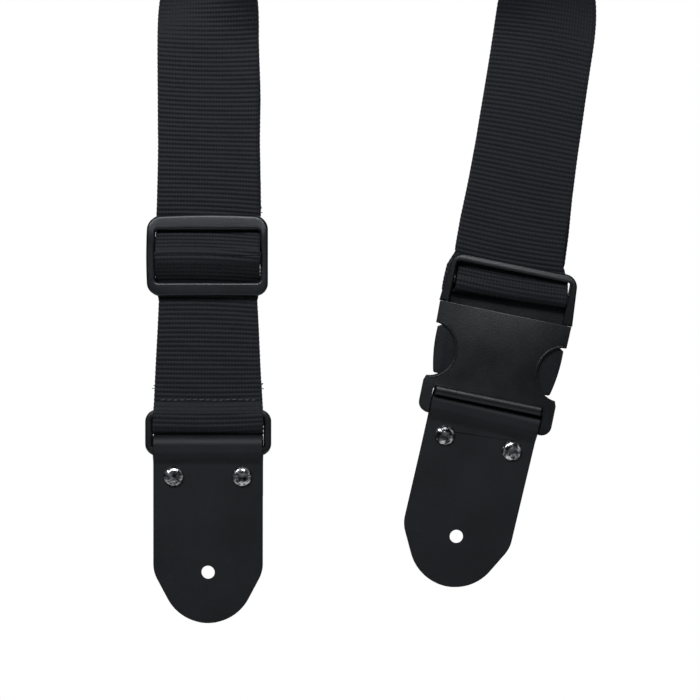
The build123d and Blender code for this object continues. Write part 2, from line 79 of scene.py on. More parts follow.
def node(tree, kind, operation=None, **values):
    """A shader node, with its operation and its numbered or named inputs."""
    made = tree.nodes.new(kind)
    if operation:
        made.operation = operation
    for key, value in values.items():
        made.inputs[int(key[1:]) if key[1:].isdigit() else key].default_value = value
    return made


def join(tree, *pairs):
    """Links each output socket to its input socket."""
    for source, target in pairs:
        tree.links.new(source, target)


def two_tones(tree, first, second, first_place=0.0, second_place=1.0):
    """A ramp from one colour to another between two places."""
    ramp = node(tree, "ShaderNodeValToRGB")
    low, high = ramp.color_ramp.elements
    low.color, high.color = (*first, 1), (*second, 1)
    low.position, high.position = first_place, second_place
    return ramp


world = bpy.data.worlds.new("studio")
bpy.context.scene.world = world
world.use_nodes = True
tree = world.node_tree
tree.nodes.clear()
seen = node(tree, "ShaderNodeBackground", Color=(1, 1, 1, 1))
glow = node(tree, "ShaderNodeBackground")
way = node(tree, "ShaderNodeTexCoord")
split = node(tree, "ShaderNodeSeparateXYZ")
height = node(tree, "ShaderNodeMath", "MULTIPLY_ADD", _1=0.5, _2=0.5)
room = two_tones(tree, (0.018, 0.019, 0.022), (0.14, 0.148, 0.168), 0.3)
path = node(tree, "ShaderNodeLightPath")
pick = node(tree, "ShaderNodeMixShader")
sky = node(tree, "ShaderNodeOutputWorld")
join(
    tree,
    (way.outputs["Generated"], split.inputs[0]),
    (split.outputs["Z"], height.inputs[0]),
    (height.outputs[0], room.inputs[0]),
    (room.outputs["Color"], glow.inputs["Color"]),
    (path.outputs["Is Camera Ray"], pick.inputs[0]),
    (glow.outputs[0], pick.inputs[1]),
    (seen.outputs[0], pick.inputs[2]),
    (pick.outputs[0], sky.inputs["Surface"]),
)


def soft_lamp(name, place, target, size, power):
    """A square soft lamp at a place, turned to a target."""
    data = bpy.data.lights.new(name, "AREA")
    data.size = size
    data.energy = power
    data.color = (0.92, 0.95, 1.0)
    lamp = bpy.data.objects.new(name, data)
    bpy.context.collection.objects.link(lamp)
    lamp.location = place
    lamp.rotation_euler = (Vector(target) - Vector(place)).to_track_quat("-Z", "Y").to_euler()


soft_lamp("key_lamp", view_middle + Vector((-0.55, -0.80, 0.62)), view_middle, 0.35, 4.6)
soft_lamp("top_lamp", view_middle + Vector((0.0, -0.86, 0.68)), view_middle, 0.34, 6.6)
soft_lamp("fill_lamp", view_middle + Vector((0.95, -0.75, 0.25)), view_middle, 0.8, 0.6)
soft_lamp("back_lamp", view_middle + Vector((0.1, 1.2, 0.8)), view_middle, 1.2, 6.0)

floor_drop = 0.52            # from the left leather end's tip
floor_mesh = bmesh.new()
bmesh.ops.create_circle(floor_mesh, cap_ends=True, segments=96, radius=1.6)
floor_data = bpy.data.meshes.new("floor")
floor_mesh.to_mesh(floor_data)
floor_mesh.free()
floor_data.transform(Matrix.Translation((0, 0, tip_z - floor_drop)))
floor = bpy.data.objects.new("floor", floor_data)
bpy.context.collection.objects.link(floor)
pale = bpy.data.materials.new("pale_floor")
pale.use_nodes = True
tree = pale.node_tree
shade = tree.nodes["Principled BSDF"]
shade.inputs["Base Color"].default_value = (0.86, 0.86, 0.85, 1)
shade.inputs["Roughness"].default_value = 0.8
shade.inputs["Emission Color"].default_value = (0.95, 0.96, 0.98, 1)
path = node(tree, "ShaderNodeLightPath")
lift = node(tree, "ShaderNodeMath", "MULTIPLY", _1=0.5)
join(
    tree,
    (path.outputs["Is Camera Ray"], lift.inputs[0]),
    (lift.outputs[0], shade.inputs["Emission Strength"]),
)
floor_data.materials.append(pale)

# Webbing: one 50 mm band of black ribbed polypropylene. It is hemmed round the ring, threads
# the slider, goes over the shoulder, turns round the buckle's bar and comes back beside
# itself to the slider's middle bar, where its tail is sewn.
webbing_width = 0.050
half_cloth = 0.0007          # half the thickness over the ribs
cloth_thickness = 0.00118    # between the ribs
layer = 0.0009               # each layer's middle from the middle of the doubled run
layer_pitch = 2 * layer
rib_pitch = 0.0022
rib_depth = 0.00007
rows_in_rib = 4
end_pitch = 0.00145          # between the warp ends across the band
columns = 26
selvedge = 0.04              # share of each half of the band
selvedge_wave = 0.00007
wander = 0.00004             # how far the band strays sideways along its length
pucker = 0.00005
slider_low, slider_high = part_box("slider_frame")
left_x = joints["ring_swing"]["pos_m"][0]
ring_z = joints["ring_swing"]["pos_m"][2]
slider_z = (slider_low.z + slider_high.z) / 2
slider_y = (slider_low.y + slider_high.y) / 2
shoulder_radius = 0.085
foot_z = -shoulder_radius + layer + half_cloth
twist_height = 0.090
run_top_z = foot_z - twist_height
run_lean = math.radians(8.8)
run_length = 0.1213
run_inset = 0.005            # the lean brings the top of the run in from the loop's foot
run_top = Vector((shoulder_radius - run_inset, 0, run_top_z))
run_down = Vector((-math.sin(run_lean), 0, -math.cos(run_lean)))
run_bottom = run_top + run_down * run_length
bar_y = joints["buckle_swing"]["pos_m"][1]


def rounded(corners, radii):
    """Points along straight runs joined by round corners, in a plane."""
    arc_steps = 12
    line = [Vector(corners[0])]
    for before, here, after, radius in zip(corners, corners[1:], corners[2:], radii):
        here = Vector(here)
        back = (Vector(before) - here).normalized()
        on = (Vector(after) - here).normalized()
        opening = back.angle(on)
        reach = radius / math.tan(opening / 2)
        middle = here + (back + on).normalized() * radius / math.sin(opening / 2)
        start = here + back * reach - middle
        turn = math.pi - opening
        if start.x * (on.y) - start.y * (on.x) < 0:
            turn = -turn
        for step in range(arc_steps + 1):
            line.append(middle + Matrix.Rotation(turn * step / arc_steps, 2) @ start)
    line.append(Vector(corners[-1]))
    return line


def side_profile(origin, up, across, points):
    """A band's course in the plane across the strap: each point is (to the back, up)."""
    back = Vector((0, 1, 0))
    return [(origin + back * p.x + up * p.y, across) for p in points]


def twist(side, offset):
    """The course of one layer where the band turns from face-on to edge-on."""
    steps = 40
    course = []
    for step in range(steps + 1):
        share = step / steps
        ease = share * share * (3 - 2 * share)
        angle = math.radians(90 * ease)
        face = Vector((side * math.sin(angle), -math.cos(angle), 0))
        start_x = run_top.x if side > 0 else left_x
        lean = run_lean * (1 - share) if side > 0 else 0
        slope = math.tan(run_lean) if side > 0 else 0
        x = start_x + (side * shoulder_radius - start_x) * ease
        x += slope * twist_height * share * (1 - share) ** 2
        place = Vector((x, 0, run_top_z + twist_height * share)) - face * offset
        up = Vector((math.sin(lean), 0, math.cos(lean)))
        course.append((place, up.cross(face).normalized() * -1))
    return course


def arch(offset):
    """The course of one layer over the shoulder, from the left foot to the right."""
    radius = shoulder_radius - offset
    steps = 80
    course = []
    for step in range(steps + 1):
        angle = math.pi * (1 - step / steps)
        place = Vector((radius * math.cos(angle), 0, foot_z + radius * math.sin(angle)))
        course.append((place, Vector((0, -1, 0))))
    return course


def level(table, height):
    """The value that a table of (height, value) pairs gives at a height."""
    for (low, first), (high, second) in zip(table, table[1:]):
        if height <= high:
            part = max(0.0, (height - low) / (high - low))
            return first + (second - first) * part
    return table[-1][1]


def slant(side, height):
    """How many ribs the weave runs ahead at a place, as the ribs are never quite straight."""
    bow = (1 - 4 * side * side) * math.sin(height * 31 + 0.8)
    return 0.45 * bow + 0.9 * side * math.sin(height * 17 - 0.4)


def band(name, course, outward, widths, shifts=((0, 0), (1, 0))):
    """Weaves a course into a ribbed band. outward is the face side's first direction."""
    places = [place for place, across in course]
    crosses = [across.copy() for place, across in course]
    for i in range(1, len(crosses)):
        if crosses[i].dot(crosses[i - 1]) < 0:
            crosses[i].negate()
    run = [0.0]
    for a, b in zip(places, places[1:]):
        run.append(run[-1] + (b - a).length)
    rows = round(run[-1] / (rib_pitch / rows_in_rib))
    spots = []
    k = 0
    for row in range(rows + 1):
        s = run[-1] * row / rows
        while k < len(run) - 2 and run[k + 1] < s:
            k += 1
        part = (s - run[k]) / max(run[k + 1] - run[k], 1e-9)
        spots.append((places[k].lerp(places[k + 1], part), crosses[k].lerp(crosses[k + 1], part)))
    mesh = bmesh.new()
    bmesh.ops.create_grid(mesh, x_segments=columns, y_segments=rows, size=0.5)
    uv = mesh.loops.layers.uv.new("weave")
    facing = []
    for row in range(rows + 1):
        ahead = spots[min(row + 1, rows)][0] - spots[max(row - 1, 0)][0]
        facing.append(spots[row][1].cross(ahead).normalized())
    if facing[0].dot(Vector(outward)) < 0:
        facing = [-f for f in facing]
    for vert in mesh.verts:
        row = round((vert.co.y + 0.5) * rows)
        side = vert.co.x
        place, across = spots[row]
        wave = math.sin(2 * math.pi * (row / rows_in_rib + slant(side, place.z)))
        edge = max(0.0, abs(side) * 2 - (1 - selvedge)) / selvedge
        wide = level(widths, place.z) * side + edge * math.copysign(selvedge_wave, side) * wave
        wide += level(shifts, place.z) + wander * math.sin(place.z * 160 + 1.3)
        lift = rib_depth * wave * (1 - edge) + pucker * math.sin(row * 0.37 + side * 9)
        vert.co = place + across.normalized() * wide + facing[row] * lift
    mesh.verts.index_update()
    for face in mesh.faces:
        face.smooth = True
        for loop in face.loops:
            row, column = divmod(loop.vert.index, columns + 1)
            side = column / columns - 0.5
            along = run[-1] * row / rows + rib_pitch * slant(side, loop.vert.co.z)
            loop[uv].uv = (webbing_width * side, along)
    data = bpy.data.meshes.new(name)
    mesh.to_mesh(data)
    mesh.free()
    piece = bpy.data.objects.new(name, data)
    bpy.context.collection.objects.link(piece)
    wall = piece.modifiers.new("cloth_thickness", "SOLIDIFY")
    wall.thickness = cloth_thickness
    wall.offset = 0
    soft = piece.modifiers.new("soft_edge", "BEVEL")
    soft.width = 0.00035
    soft.segments = 2
    soft.limit_method = "ANGLE"
    soft.angle_limit = math.radians(60)
    data.materials.append(weave)
    return piece, run[-1]


weave = bpy.data.materials.new("black_webbing")
weave.use_nodes = True
tree = weave.node_tree
shade = tree.nodes["Principled BSDF"]
shade.inputs["Roughness"].default_value = 0.62
shade.inputs["Specular IOR Level"].default_value = 0.22
shade.inputs["Sheen Weight"].default_value = 0.04
shade.inputs["Sheen Roughness"].default_value = 0.5
place = node(tree, "ShaderNodeUVMap")
place.uv_map = "weave"
parts = node(tree, "ShaderNodeSeparateXYZ")
ribs = node(tree, "ShaderNodeMath", "MULTIPLY", _1=2 * math.pi / rib_pitch)
rib_wave = node(tree, "ShaderNodeMath", "SINE")
# The rib wave also sets the colour: painted shade in the grooves between the ribs and a painted highlight
# on their crests, over the ribs' real relief.
painted_rib_shade = node(tree, "ShaderNodeMath", "MULTIPLY_ADD", _1=0.13, _2=0.42)
ends = node(tree, "ShaderNodeMath", "MULTIPLY", _1=2 * math.pi / end_pitch)
ends_wave = node(tree, "ShaderNodeMath", "SINE")
ends_tone = node(tree, "ShaderNodeMath", "MULTIPLY_ADD", _1=0.17)
mottle = node(tree, "ShaderNodeTexNoise", Scale=620.0, Detail=4.0, Roughness=0.7)
mottle_tone = node(tree, "ShaderNodeMath", "MULTIPLY_ADD", _1=1.1)
worn = node(tree, "ShaderNodeTexNoise", Scale=55.0, Detail=3.0, Roughness=0.5)
worn_tone = node(tree, "ShaderNodeMath", "MULTIPLY_ADD", _1=0.5)
level_down = node(tree, "ShaderNodeMath", "SUBTRACT", _1=0.83)
height = node(tree, "ShaderNodeMath", "MULTIPLY_ADD", _1=0.6)
colour = two_tones(tree, (0.0020, 0.0023, 0.0033), (0.0104, 0.0112, 0.0146))
bump = node(tree, "ShaderNodeBump", Strength=0.3, Distance=0.00022)
join(
    tree,
    (place.outputs["UV"], parts.inputs[0]),
    (parts.outputs["Y"], ribs.inputs[0]),
    (ribs.outputs[0], rib_wave.inputs[0]),
    (rib_wave.outputs[0], painted_rib_shade.inputs[0]),
    (parts.outputs["X"], ends.inputs[0]),
    (ends.outputs[0], ends_wave.inputs[0]),
    (ends_wave.outputs[0], ends_tone.inputs[0]),
    (painted_rib_shade.outputs[0], ends_tone.inputs[2]),
    (place.outputs["UV"], mottle.inputs["Vector"]),
    (mottle.outputs["Fac"], mottle_tone.inputs[0]),
    (ends_tone.outputs[0], mottle_tone.inputs[2]),
    (place.outputs["UV"], worn.inputs["Vector"]),
    (worn.outputs["Fac"], worn_tone.inputs[0]),
    (mottle_tone.outputs[0], worn_tone.inputs[2]),
    (worn_tone.outputs[0], level_down.inputs[0]),
    (level_down.outputs[0], colour.inputs[0]),
    (colour.outputs["Color"], shade.inputs["Base Color"]),
    (ends_wave.outputs[0], height.inputs[0]),
    (rib_wave.outputs[0], height.inputs[2]),
    (height.outputs[0], bump.inputs["Height"]),
    (bump.outputs["Normal"], shade.inputs["Normal"]),
)

up = Vector((0, 0, 1))
right = Vector((1, 0, 0))
front = (0, -1, 0)
hem_loop = 0.0036            # middle of the band round the ring's bar
hem_drop = ring_z - slider_z
# widths and sideways shifts of the band at heights, as it is squeezed and spread by its hardware
left_widths = [(-0.36, 0.0544), (-0.350, 0.0536), (-0.299, 0.0486), (-0.293, 0.0515)]
left_widths += [(-0.262, 0.0515), (-0.252, 0.0506), (-0.222, 0.0494), (-0.19, 0.0500)]
right_widths = [(-0.296, 0.0554), (-0.276, 0.0540), (-0.222, 0.0508), (-0.18, 0.0500)]
buckle_shifts = [(-0.292, -0.0031), (-0.2855, -0.0028), (-0.2775, 0.0004)]
buckle_shifts += [(-0.262, 0.0006), (-0.24, 0.0)]
hem_end = 0.0146
hem_open = 0.0059            # above the ring's bar
loop_top = 0.0004
loop_drop = 0.0059           # the loop rests on the leather below it
rear_turn = 0.01340          # from the slider's middle to where the band leaves its back
bulge_turn = 0.0030          # and to where it leaves the centre bar's front
front_face = slider_y - 0.0042
wrap_reach = 0.0025          # the inner layer's middle from the centre bar's middle
wrap_front = slider_y - wrap_reach
hem_corners = [
    (layer, hem_drop + hem_end),
    (layer, hem_drop + hem_open),
    (hem_loop, hem_drop + loop_top),
    (hem_loop, hem_drop - loop_drop - hem_loop),
    (-hem_loop, hem_drop - loop_drop - hem_loop),
    (-hem_loop, hem_drop + loop_top),
    (-layer, hem_drop + hem_open),
    (-layer, -rear_turn),
    (front_face, -bulge_turn),
    (front_face, 0),
]
course = side_profile(
    Vector((left_x, 0, slider_z)), up, right,
    rounded(hem_corners, [0.003, 0.002, 0.00358, 0.00358, 0.002, 0.003, 0.0025, 0.0038]),
)
webbing_hem, hem_run = band("webbing_ring_end", course, (0, 1, 0), left_widths)
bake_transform(webbing_hem)

climb = rounded(
    [(front_face, 0), (front_face, bulge_turn), (-layer, rear_turn), (-layer, run_top_z - slider_z)],
    [0.0038, 0.0025],
)
course = side_profile(Vector((left_x, 0, slider_z)), up, right, climb)
course += twist(-1, -layer)[1:]
webbing_front, front_run = band("webbing_front_layer", course, front, left_widths)
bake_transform(webbing_front)

back_shifts = [(-0.262, 0.0), (-0.252, 0.0007), (-0.20, 0.0009), (-0.17, 0.0)]
tail_end = 0.038
tail_bend = 0.0095
wrap_low = -0.0037
tail_layer = layer + layer_pitch
lag = layer_pitch * math.tan(math.atan2(-layer - front_face, rear_turn - bulge_turn) / 2)
wrap = rounded(
    [
        (tail_layer, tail_end),
        (tail_layer, tail_bend),
        (slider_y + wrap_reach, 0.0012),
        (slider_y + wrap_reach, wrap_low),
        (wrap_front, wrap_low),
        (wrap_front, bulge_turn - lag),
        (layer, rear_turn - lag),
        (layer, run_top_z - slider_z),
    ],
    [0.004, 0.003, 0.00245, 0.00245, 0.002, 0.0043],
)
course = side_profile(Vector((left_x, 0, slider_z)), up, right, wrap)
course += twist(-1, layer)[1:]
webbing_back, back_run = band("webbing_back_layer", course, (0, 1, 0), left_widths, back_shifts)
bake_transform(webbing_back)

run_across = Vector((math.cos(run_lean), 0, -math.sin(run_lean)))
bar_front = 2 * bar_y - layer
bar_turn = 0.0033            # the outer layer's bend round the buckle's bar
under_bar = -0.0046
down = rounded(
    [
        (-layer, run_length),
        (-layer, 0.0090),
        (bar_front, 0.0022),
        (bar_front, under_bar),
        (bar_y, under_bar),
    ],
    [0.003, 0.0025, bar_turn],
)
course = arch(-layer)
course += list(reversed(twist(1, -layer)))[1:]
course += side_profile(run_bottom, -run_down, run_across, down)[1:]
webbing_over, over_run = band("webbing_shoulder_outer", course, (-1, 0, 0), right_widths, buckle_shifts)
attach(webbing_over, "strap")

rise = rounded([(bar_y, under_bar), (layer, under_bar), (layer, run_length)], [bar_turn])
course = side_profile(run_bottom, -run_down, run_across, rise)
course += twist(1, layer)[1:]
course += list(reversed(arch(layer)))[1:]
webbing_under, under_run = band("webbing_shoulder_inner", course, (0, -1, 0), right_widths, buckle_shifts)
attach(webbing_under, "strap")
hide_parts("webbing")

# Sewing: black bonded thread, one lockstitched row through the hem and two through the tail.
# Each stitch is a short length of thread that dips into the cloth at both ends.
thread_radius = 0.00030
stitch_length = 0.0023
stitch_pitch = 0.0032
stitch_dip = 0.00035
stitch_lift = 0.0002
sewn_margin = 0.002
hem_row = 0.007              # above the ring's bar
tail_rows = {"lower": 0.019, "upper": 0.033}    # above the slider's middle

thread = bpy.data.materials.new("black_thread")
thread.use_nodes = True
tree = thread.node_tree
shade = tree.nodes["Principled BSDF"]
shade.inputs["Roughness"].default_value = 0.45
where = node(tree, "ShaderNodeTexCoord")
strands = node(tree, "ShaderNodeTexWave", Scale=900.0, Distortion=2.0)
dye = two_tones(tree, (0.024, 0.026, 0.031), (0.085, 0.09, 0.104))
twine = node(tree, "ShaderNodeBump", Strength=0.4, Distance=0.0001)
join(
    tree,
    (where.outputs["Object"], strands.inputs["Vector"]),
    (strands.outputs["Fac"], dye.inputs[0]),
    (dye.outputs["Color"], shade.inputs["Base Color"]),
    (strands.outputs["Fac"], twine.inputs["Height"]),
    (twine.outputs["Normal"], shade.inputs["Normal"]),
)


def sewing(name, node_name, faces):
    """A row of stitches right across the band, on each (y, way out, height) face."""
    mesh = bmesh.new()
    count = int((webbing_width - sewn_margin) / stitch_pitch)
    for y, out, z in faces:
        for number in range(count):
            x = left_x + (number - (count - 1) / 2) * stitch_pitch
            made = bmesh.ops.create_uvsphere(mesh, u_segments=10, v_segments=8, radius=1.0)
            for vert in made["verts"]:
                along = vert.co.z
                tall = thread_radius * (1.0 + 0.1 * math.sin(number * 2.1))
                slip = 0.00012 * math.sin(number * 5.3)
                dip = -stitch_dip * along * along
                vert.co = Vector((
                    x + along * stitch_length / 2,
                    y + out * (vert.co.x * tall + dip + stitch_lift),
                    z + slip + vert.co.y * thread_radius + 0.0001 * along,
                ))
    for face in mesh.faces:
        face.smooth = True
    bmesh.ops.recalc_face_normals(mesh, faces=mesh.faces)
    data = bpy.data.meshes.new(name)
    mesh.to_mesh(data)
    mesh.free()
    data.materials.append(thread)
    piece = bpy.data.objects.new(name, data)
    bpy.context.collection.objects.link(piece)
    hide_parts(node_name)
    return piece


cloth_face = layer + half_cloth
hem_rows = [(-cloth_face, -1, ring_z + hem_row), (cloth_face, 1, ring_z + hem_row)]
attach(sewing("hem_stitches", "hem_stitching", hem_rows), "strap")
for place_name, row_up in tail_rows.items():
    tail_row = [(tail_layer + half_cloth, 1, slider_z + row_up)]
    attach(sewing(f"tail_stitches_{place_name}", f"tail_stitching_{place_name}", tail_row), "slider")

# Loose fibres: the webbing's cut end and its edges shed a few short black filaments of
# polypropylene where the heat seal has worn.
fibre_radius = 0.00021


def fibres(name, places, material, body):
    """Short curved filaments, each from a place towards a lean and a length."""
    mesh = bmesh.new()
    for number, (x, y, z, lean_x, lean_z, length) in enumerate(places):
        line = []
        for step in range(7):
            t = step / 6
            bend = 0.35 * math.sin(number * 2.7 + 1.0) * t * t
            reach = Vector((lean_x - bend * lean_z, -0.12 * t, lean_z + bend * lean_x))
            line.append(Vector((x, y, z)) + reach * length * t)
        for first, second in zip(line, line[1:]):
            made = bmesh.ops.create_cone(
                mesh, cap_ends=True, segments=6, radius1=fibre_radius, radius2=fibre_radius * 0.8,
                depth=(second - first).length * 1.1,
            )
            turn = (second - first).to_track_quat("Z", "Y").to_matrix().to_4x4()
            place = Matrix.Translation((first + second) / 2) @ turn
            bmesh.ops.transform(mesh, matrix=place, verts=made["verts"])
    data = bpy.data.meshes.new(name)
    mesh.to_mesh(data)
    mesh.free()
    data.materials.append(material)
    piece = bpy.data.objects.new(name, data)
    bpy.context.collection.objects.link(piece)
    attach(piece, body)


hem_top = ring_z + hem_end
fibres("hem_fibres", [
    (left_x - 0.0257, 0.0010, hem_top - 0.0022, -0.85, 0.35, 0.0022),
    (left_x - 0.0258, 0.0012, hem_top - 0.0008, -0.95, 0.15, 0.0014),
    (left_x - 0.0259, 0.0010, hem_top - 0.0100, -0.80, 0.50, 0.0012),
    (left_x + 0.0258, 0.0010, hem_top - 0.0006, 0.75, 0.60, 0.0018),
    (left_x + 0.0259, 0.0012, hem_top - 0.0016, 0.95, -0.20, 0.0016),
    (left_x + 0.0258, 0.0009, hem_top + 0.0002, 0.90, 0.10, 0.0011),
], thread, "strap")
fibres("edge_fibres", [
    (left_x + 0.0252, 0.0, slider_z + 0.0225, 0.70, 0.70, 0.0022),
    (left_x + 0.0253, 0.0005, slider_z + 0.0215, 0.90, 0.30, 0.0015),
], thread, "slider")

# Moulded plastic: the slider, the ring and both halves of the buckle are black acetal with a
# fine spark-eroded texture that goes smoother and brighter where hands and webbing rub it.


def moulded(name, dark, light, roughness, shine):
    """Black moulded plastic with a fine grain and faint flow marks."""
    made = bpy.data.materials.new(name)
    made.use_nodes = True
    tree = made.node_tree
    shade = tree.nodes["Principled BSDF"]
    shade.inputs["Specular IOR Level"].default_value = shine
    where = node(tree, "ShaderNodeTexCoord")
    fine = node(tree, "ShaderNodeTexNoise", Scale=1500.0, Detail=2.0, Roughness=0.5)
    broad = node(tree, "ShaderNodeTexNoise", Scale=70.0, Detail=4.0, Roughness=0.6)
    colour = two_tones(tree, dark, light, 0.35, 0.68)
    rough = node(tree, "ShaderNodeMapRange")
    rough.inputs["To Min"].default_value = roughness - 0.06
    rough.inputs["To Max"].default_value = roughness + 0.08
    bump = node(tree, "ShaderNodeBump", Strength=0.6, Distance=0.00009)
    join(
        tree,
        (where.outputs["Object"], fine.inputs["Vector"]),
        (where.outputs["Object"], broad.inputs["Vector"]),
        (broad.outputs["Fac"], colour.inputs[0]),
        (colour.outputs["Color"], shade.inputs["Base Color"]),
        (broad.outputs["Fac"], rough.inputs["Value"]),
        (rough.outputs["Result"], shade.inputs["Roughness"]),
        (fine.outputs["Fac"], bump.inputs["Height"]),
        (bump.outputs["Normal"], shade.inputs["Normal"]),
    )
    return made


plastic = moulded("black_acetal", (0.0046, 0.0050, 0.0064), (0.0074, 0.0079, 0.0097), 0.35, 0.5)
# The buckle's copy of the same acetal is coloured about half as light as the slider's: painted shade on
# the buckle.
shaded_buckle_plastic = moulded("buckle_acetal_painted_shade", (0.0022, 0.0025, 0.0035), (0.0042, 0.0046, 0.0058), 0.37, 0.5)


def sliced(mesh, origin, direction, step, low, high):
    """Cuts a piece's faces across at even steps so that it can be bent smoothly."""
    count = round((high - low) / step)
    for number in range(count + 1):
        parts = mesh.verts[:] + mesh.edges[:] + mesh.faces[:]
        place = Vector(origin) + direction * (low + (high - low) * number / max(count, 1))
        bmesh.ops.bisect_plane(mesh, geom=parts, plane_co=place, plane_no=direction, dist=0.000001)


broad_face = 0.00025         # m2, a press arm's flat sides
panel_depth = 0.00035


def from_frame(
    name, node_name, rounding, segments, material, limit=38, cuts=(), bend=None, plain=None, panel=0
):
    """A piece with the frame's own shape, bent as it came out and rounded at its edges."""
    source = frame["nodes"][node_name]
    mesh = bmesh.new()
    mesh.from_mesh(source.data)
    bmesh.ops.remove_doubles(mesh, verts=mesh.verts, dist=0.000002)
    bmesh.ops.dissolve_limit(
        mesh, angle_limit=math.radians(0.6), verts=mesh.verts, edges=mesh.edges
    )
    if panel:
        broad = [f for f in mesh.faces if f.calc_area() > broad_face and abs(f.normal.y) > 0.98]
        bmesh.ops.inset_individual(mesh, faces=broad, thickness=panel, depth=-panel_depth)
    for row in cuts:
        sliced(mesh, *row)
    if bend:
        for vert in mesh.verts:
            vert.co = bend(vert.co.copy())
    weights = mesh.edges.layers.float.new("bevel_weight_edge")
    for edge in mesh.edges:
        middle = (edge.verts[0].co + edge.verts[1].co) / 2
        sharp = edge.is_manifold and edge.calc_face_angle(0.0) > math.radians(limit)
        edge[weights] = 1.0 if sharp and not (plain and plain(middle)) else 0.0
    for face in mesh.faces:
        face.smooth = True
    data = bpy.data.meshes.new(name)
    mesh.to_mesh(data)
    mesh.free()
    data.materials.clear()
    data.materials.append(material)
    piece = bpy.data.objects.new(name, data)
    bpy.context.collection.objects.link(piece)
    soft = piece.modifiers.new("rounding", "BEVEL")
    soft.width = rounding
    soft.segments = segments
    soft.limit_method = "WEIGHT"
    soft.use_clamp_overlap = plain is None
    soft.harden_normals = True
    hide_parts(node_name)
    return piece


def lean_of(axis):
    """How far a hinge axis leans from level, with its own right and up."""
    across = Vector(axis).normalized()
    return across, Vector((-across.z, 0, across.x))


slider_middle = Vector((left_x, slider_y, slider_z))
half_slider = (slider_high.x - slider_low.x) / 2
window_edge = 0.0128         # from the slider's middle, up or down
bar_slope = 0.0008
bar_bow = 0.0011
side_bow = 0.0007


def slider_bend(point):
    """The slider's top bar bows up in the middle, and both long bars slope at the front."""
    place = point - slider_middle
    share = place.x / half_slider
    if abs(place.z) > 0.010:
        outward = (abs(place.z) - window_edge) / 0.007
        sign = math.copysign(1, place.z)
        if place.y < 0:
            point.y += bar_slope * outward * (1.0 if sign > 0 else 0.2)
        point.z += bar_bow * (1 - share * share) * outward * (1 if sign > 0 else 0.3)
    if share < -0.94:
        point.x -= side_bow * (1 - (place.z / 0.0198) ** 2)
    return point


slider_cuts = [(slider_middle, right, 0.004, -half_slider + 0.002, half_slider - 0.002)]
slider_cuts += [(slider_middle, up, 0.0035, -0.0175, 0.0175)]
slider = from_frame(
    "slider", "slider_frame", 0.0004, 3, plastic, cuts=slider_cuts, bend=slider_bend
)
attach(slider, "slider")
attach(from_frame("ring_loop", "ring", 0.0003, 2, plastic), "ring")
for side in ("left", "right"):
    arm = from_frame(f"press_arm_{side}_piece", f"arm_{side}", 0.00025, 2, plastic, panel=0.0012)
    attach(arm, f"press_arm_{side}")

# Buckle: a side-release buckle moulded in black acetal. The female half is crowned, with its
# front and back sloping away towards the mouth, and a thin rim runs round each cut-out where
# the press tabs stand out. The male half's bar is cast in between two round bosses.
buckle_right, buckle_up = lean_of(joints["buckle_swing"]["axis"])
bar_middle = Vector(joints["buckle_swing"]["pos_m"])
mouth_drop = 0.0120          # from the webbing's bar
mouth = bar_middle - buckle_up * mouth_drop
crown_start = -0.024
tail_start = -0.026
cavity_wall = 0.0051
wall_least = 0.00535
wall_edge = 0.0055
wall_middle = 0.0074
ear_side = 0.0340
lip_top = -0.0405
lip_foot = -0.047
lip_end = 0.0260
lip_back = 0.0052
lip_depth = 0.0034
lip_spread = 0.0014


def crown(half, drop):
    """Half the housing's thickness once it slopes away above and below its widest place."""
    share = max(0.0, (drop - crown_start) / -crown_start)
    tail = max(0.0, (tail_start - drop) / 0.030)
    return wall_least + (half - wall_least) * (1 - 0.9 * share * share - 0.35 * tail * tail)


def female_bend(point):
    """Slopes the faces of the housing, and spreads the lip's ends at their roots."""
    place = point - mouth
    drop = place.dot(buckle_up)
    aside = place.dot(buckle_right)
    if abs(place.y) > cavity_wall and drop > lip_top:
        point.y = mouth.y + math.copysign(crown(abs(place.y), drop), place.y)
    if abs(abs(aside) - lip_end) < 0.0002 and lip_foot < drop < lip_top:
        front_share = min(1.0, max(0.0, (-place.y - lip_back) / lip_depth))
        point += buckle_right * math.copysign(lip_spread * (1 - front_share), aside)
    return point


top_bar_low = 0.0092         # above the webbing's bar
top_bar_height = 0.0038
top_bar_slope = 0.0004


def male_bend(point):
    """Slopes the front of the frame's top bar back towards its upper edge."""
    place = point - bar_middle
    high = (place.dot(buckle_up) - top_bar_low) / top_bar_height
    if place.y < 0 and high > 0:
        point.y += top_bar_slope * min(high, 1.0)
    return point


male_cuts = [(bar_middle, buckle_up, 0.0018, top_bar_low, 0.0128)]
male = from_frame(
    "buckle_male_half", "male_frame", 0.0006, 3, shaded_buckle_plastic, cuts=male_cuts, bend=male_bend
)
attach(male, "buckle_male")

female_cuts = [(mouth, buckle_up, 0.0025, -0.0535, -0.0005), (mouth, buckle_right, 0.004, -0.0325, 0.0325)]
female = from_frame(
    "buckle_female_half", "female_housing", 0.0011, 4, shaded_buckle_plastic,
    cuts=female_cuts, bend=female_bend,
)
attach(female, "buckle_female")


def tube(mesh, points, radii, sides=8):
    """A thin round rod: a grid wrapped round a line of points, sewn up and closed at its ends."""
    rows = len(points) - 1
    grid = bmesh.ops.create_grid(mesh, x_segments=sides, y_segments=rows, size=0.5)["verts"]
    for vert in grid:
        number = round((vert.co.y + 0.5) * rows)
        turn = 2 * math.pi * (vert.co.x + 0.5)
        ahead = (points[min(number + 1, rows)] - points[max(number - 1, 0)]).normalized()
        over = ahead.cross(Vector((0.3, 1, 0.2))).normalized()
        round_way = over * math.cos(turn) + ahead.cross(over) * math.sin(turn)
        vert.co = points[number] + round_way * radii[number]
    bmesh.ops.remove_doubles(mesh, verts=grid, dist=0.000001)
    bmesh.ops.holes_fill(mesh, edges=[edge for edge in mesh.edges if edge.is_boundary], sides=sides)


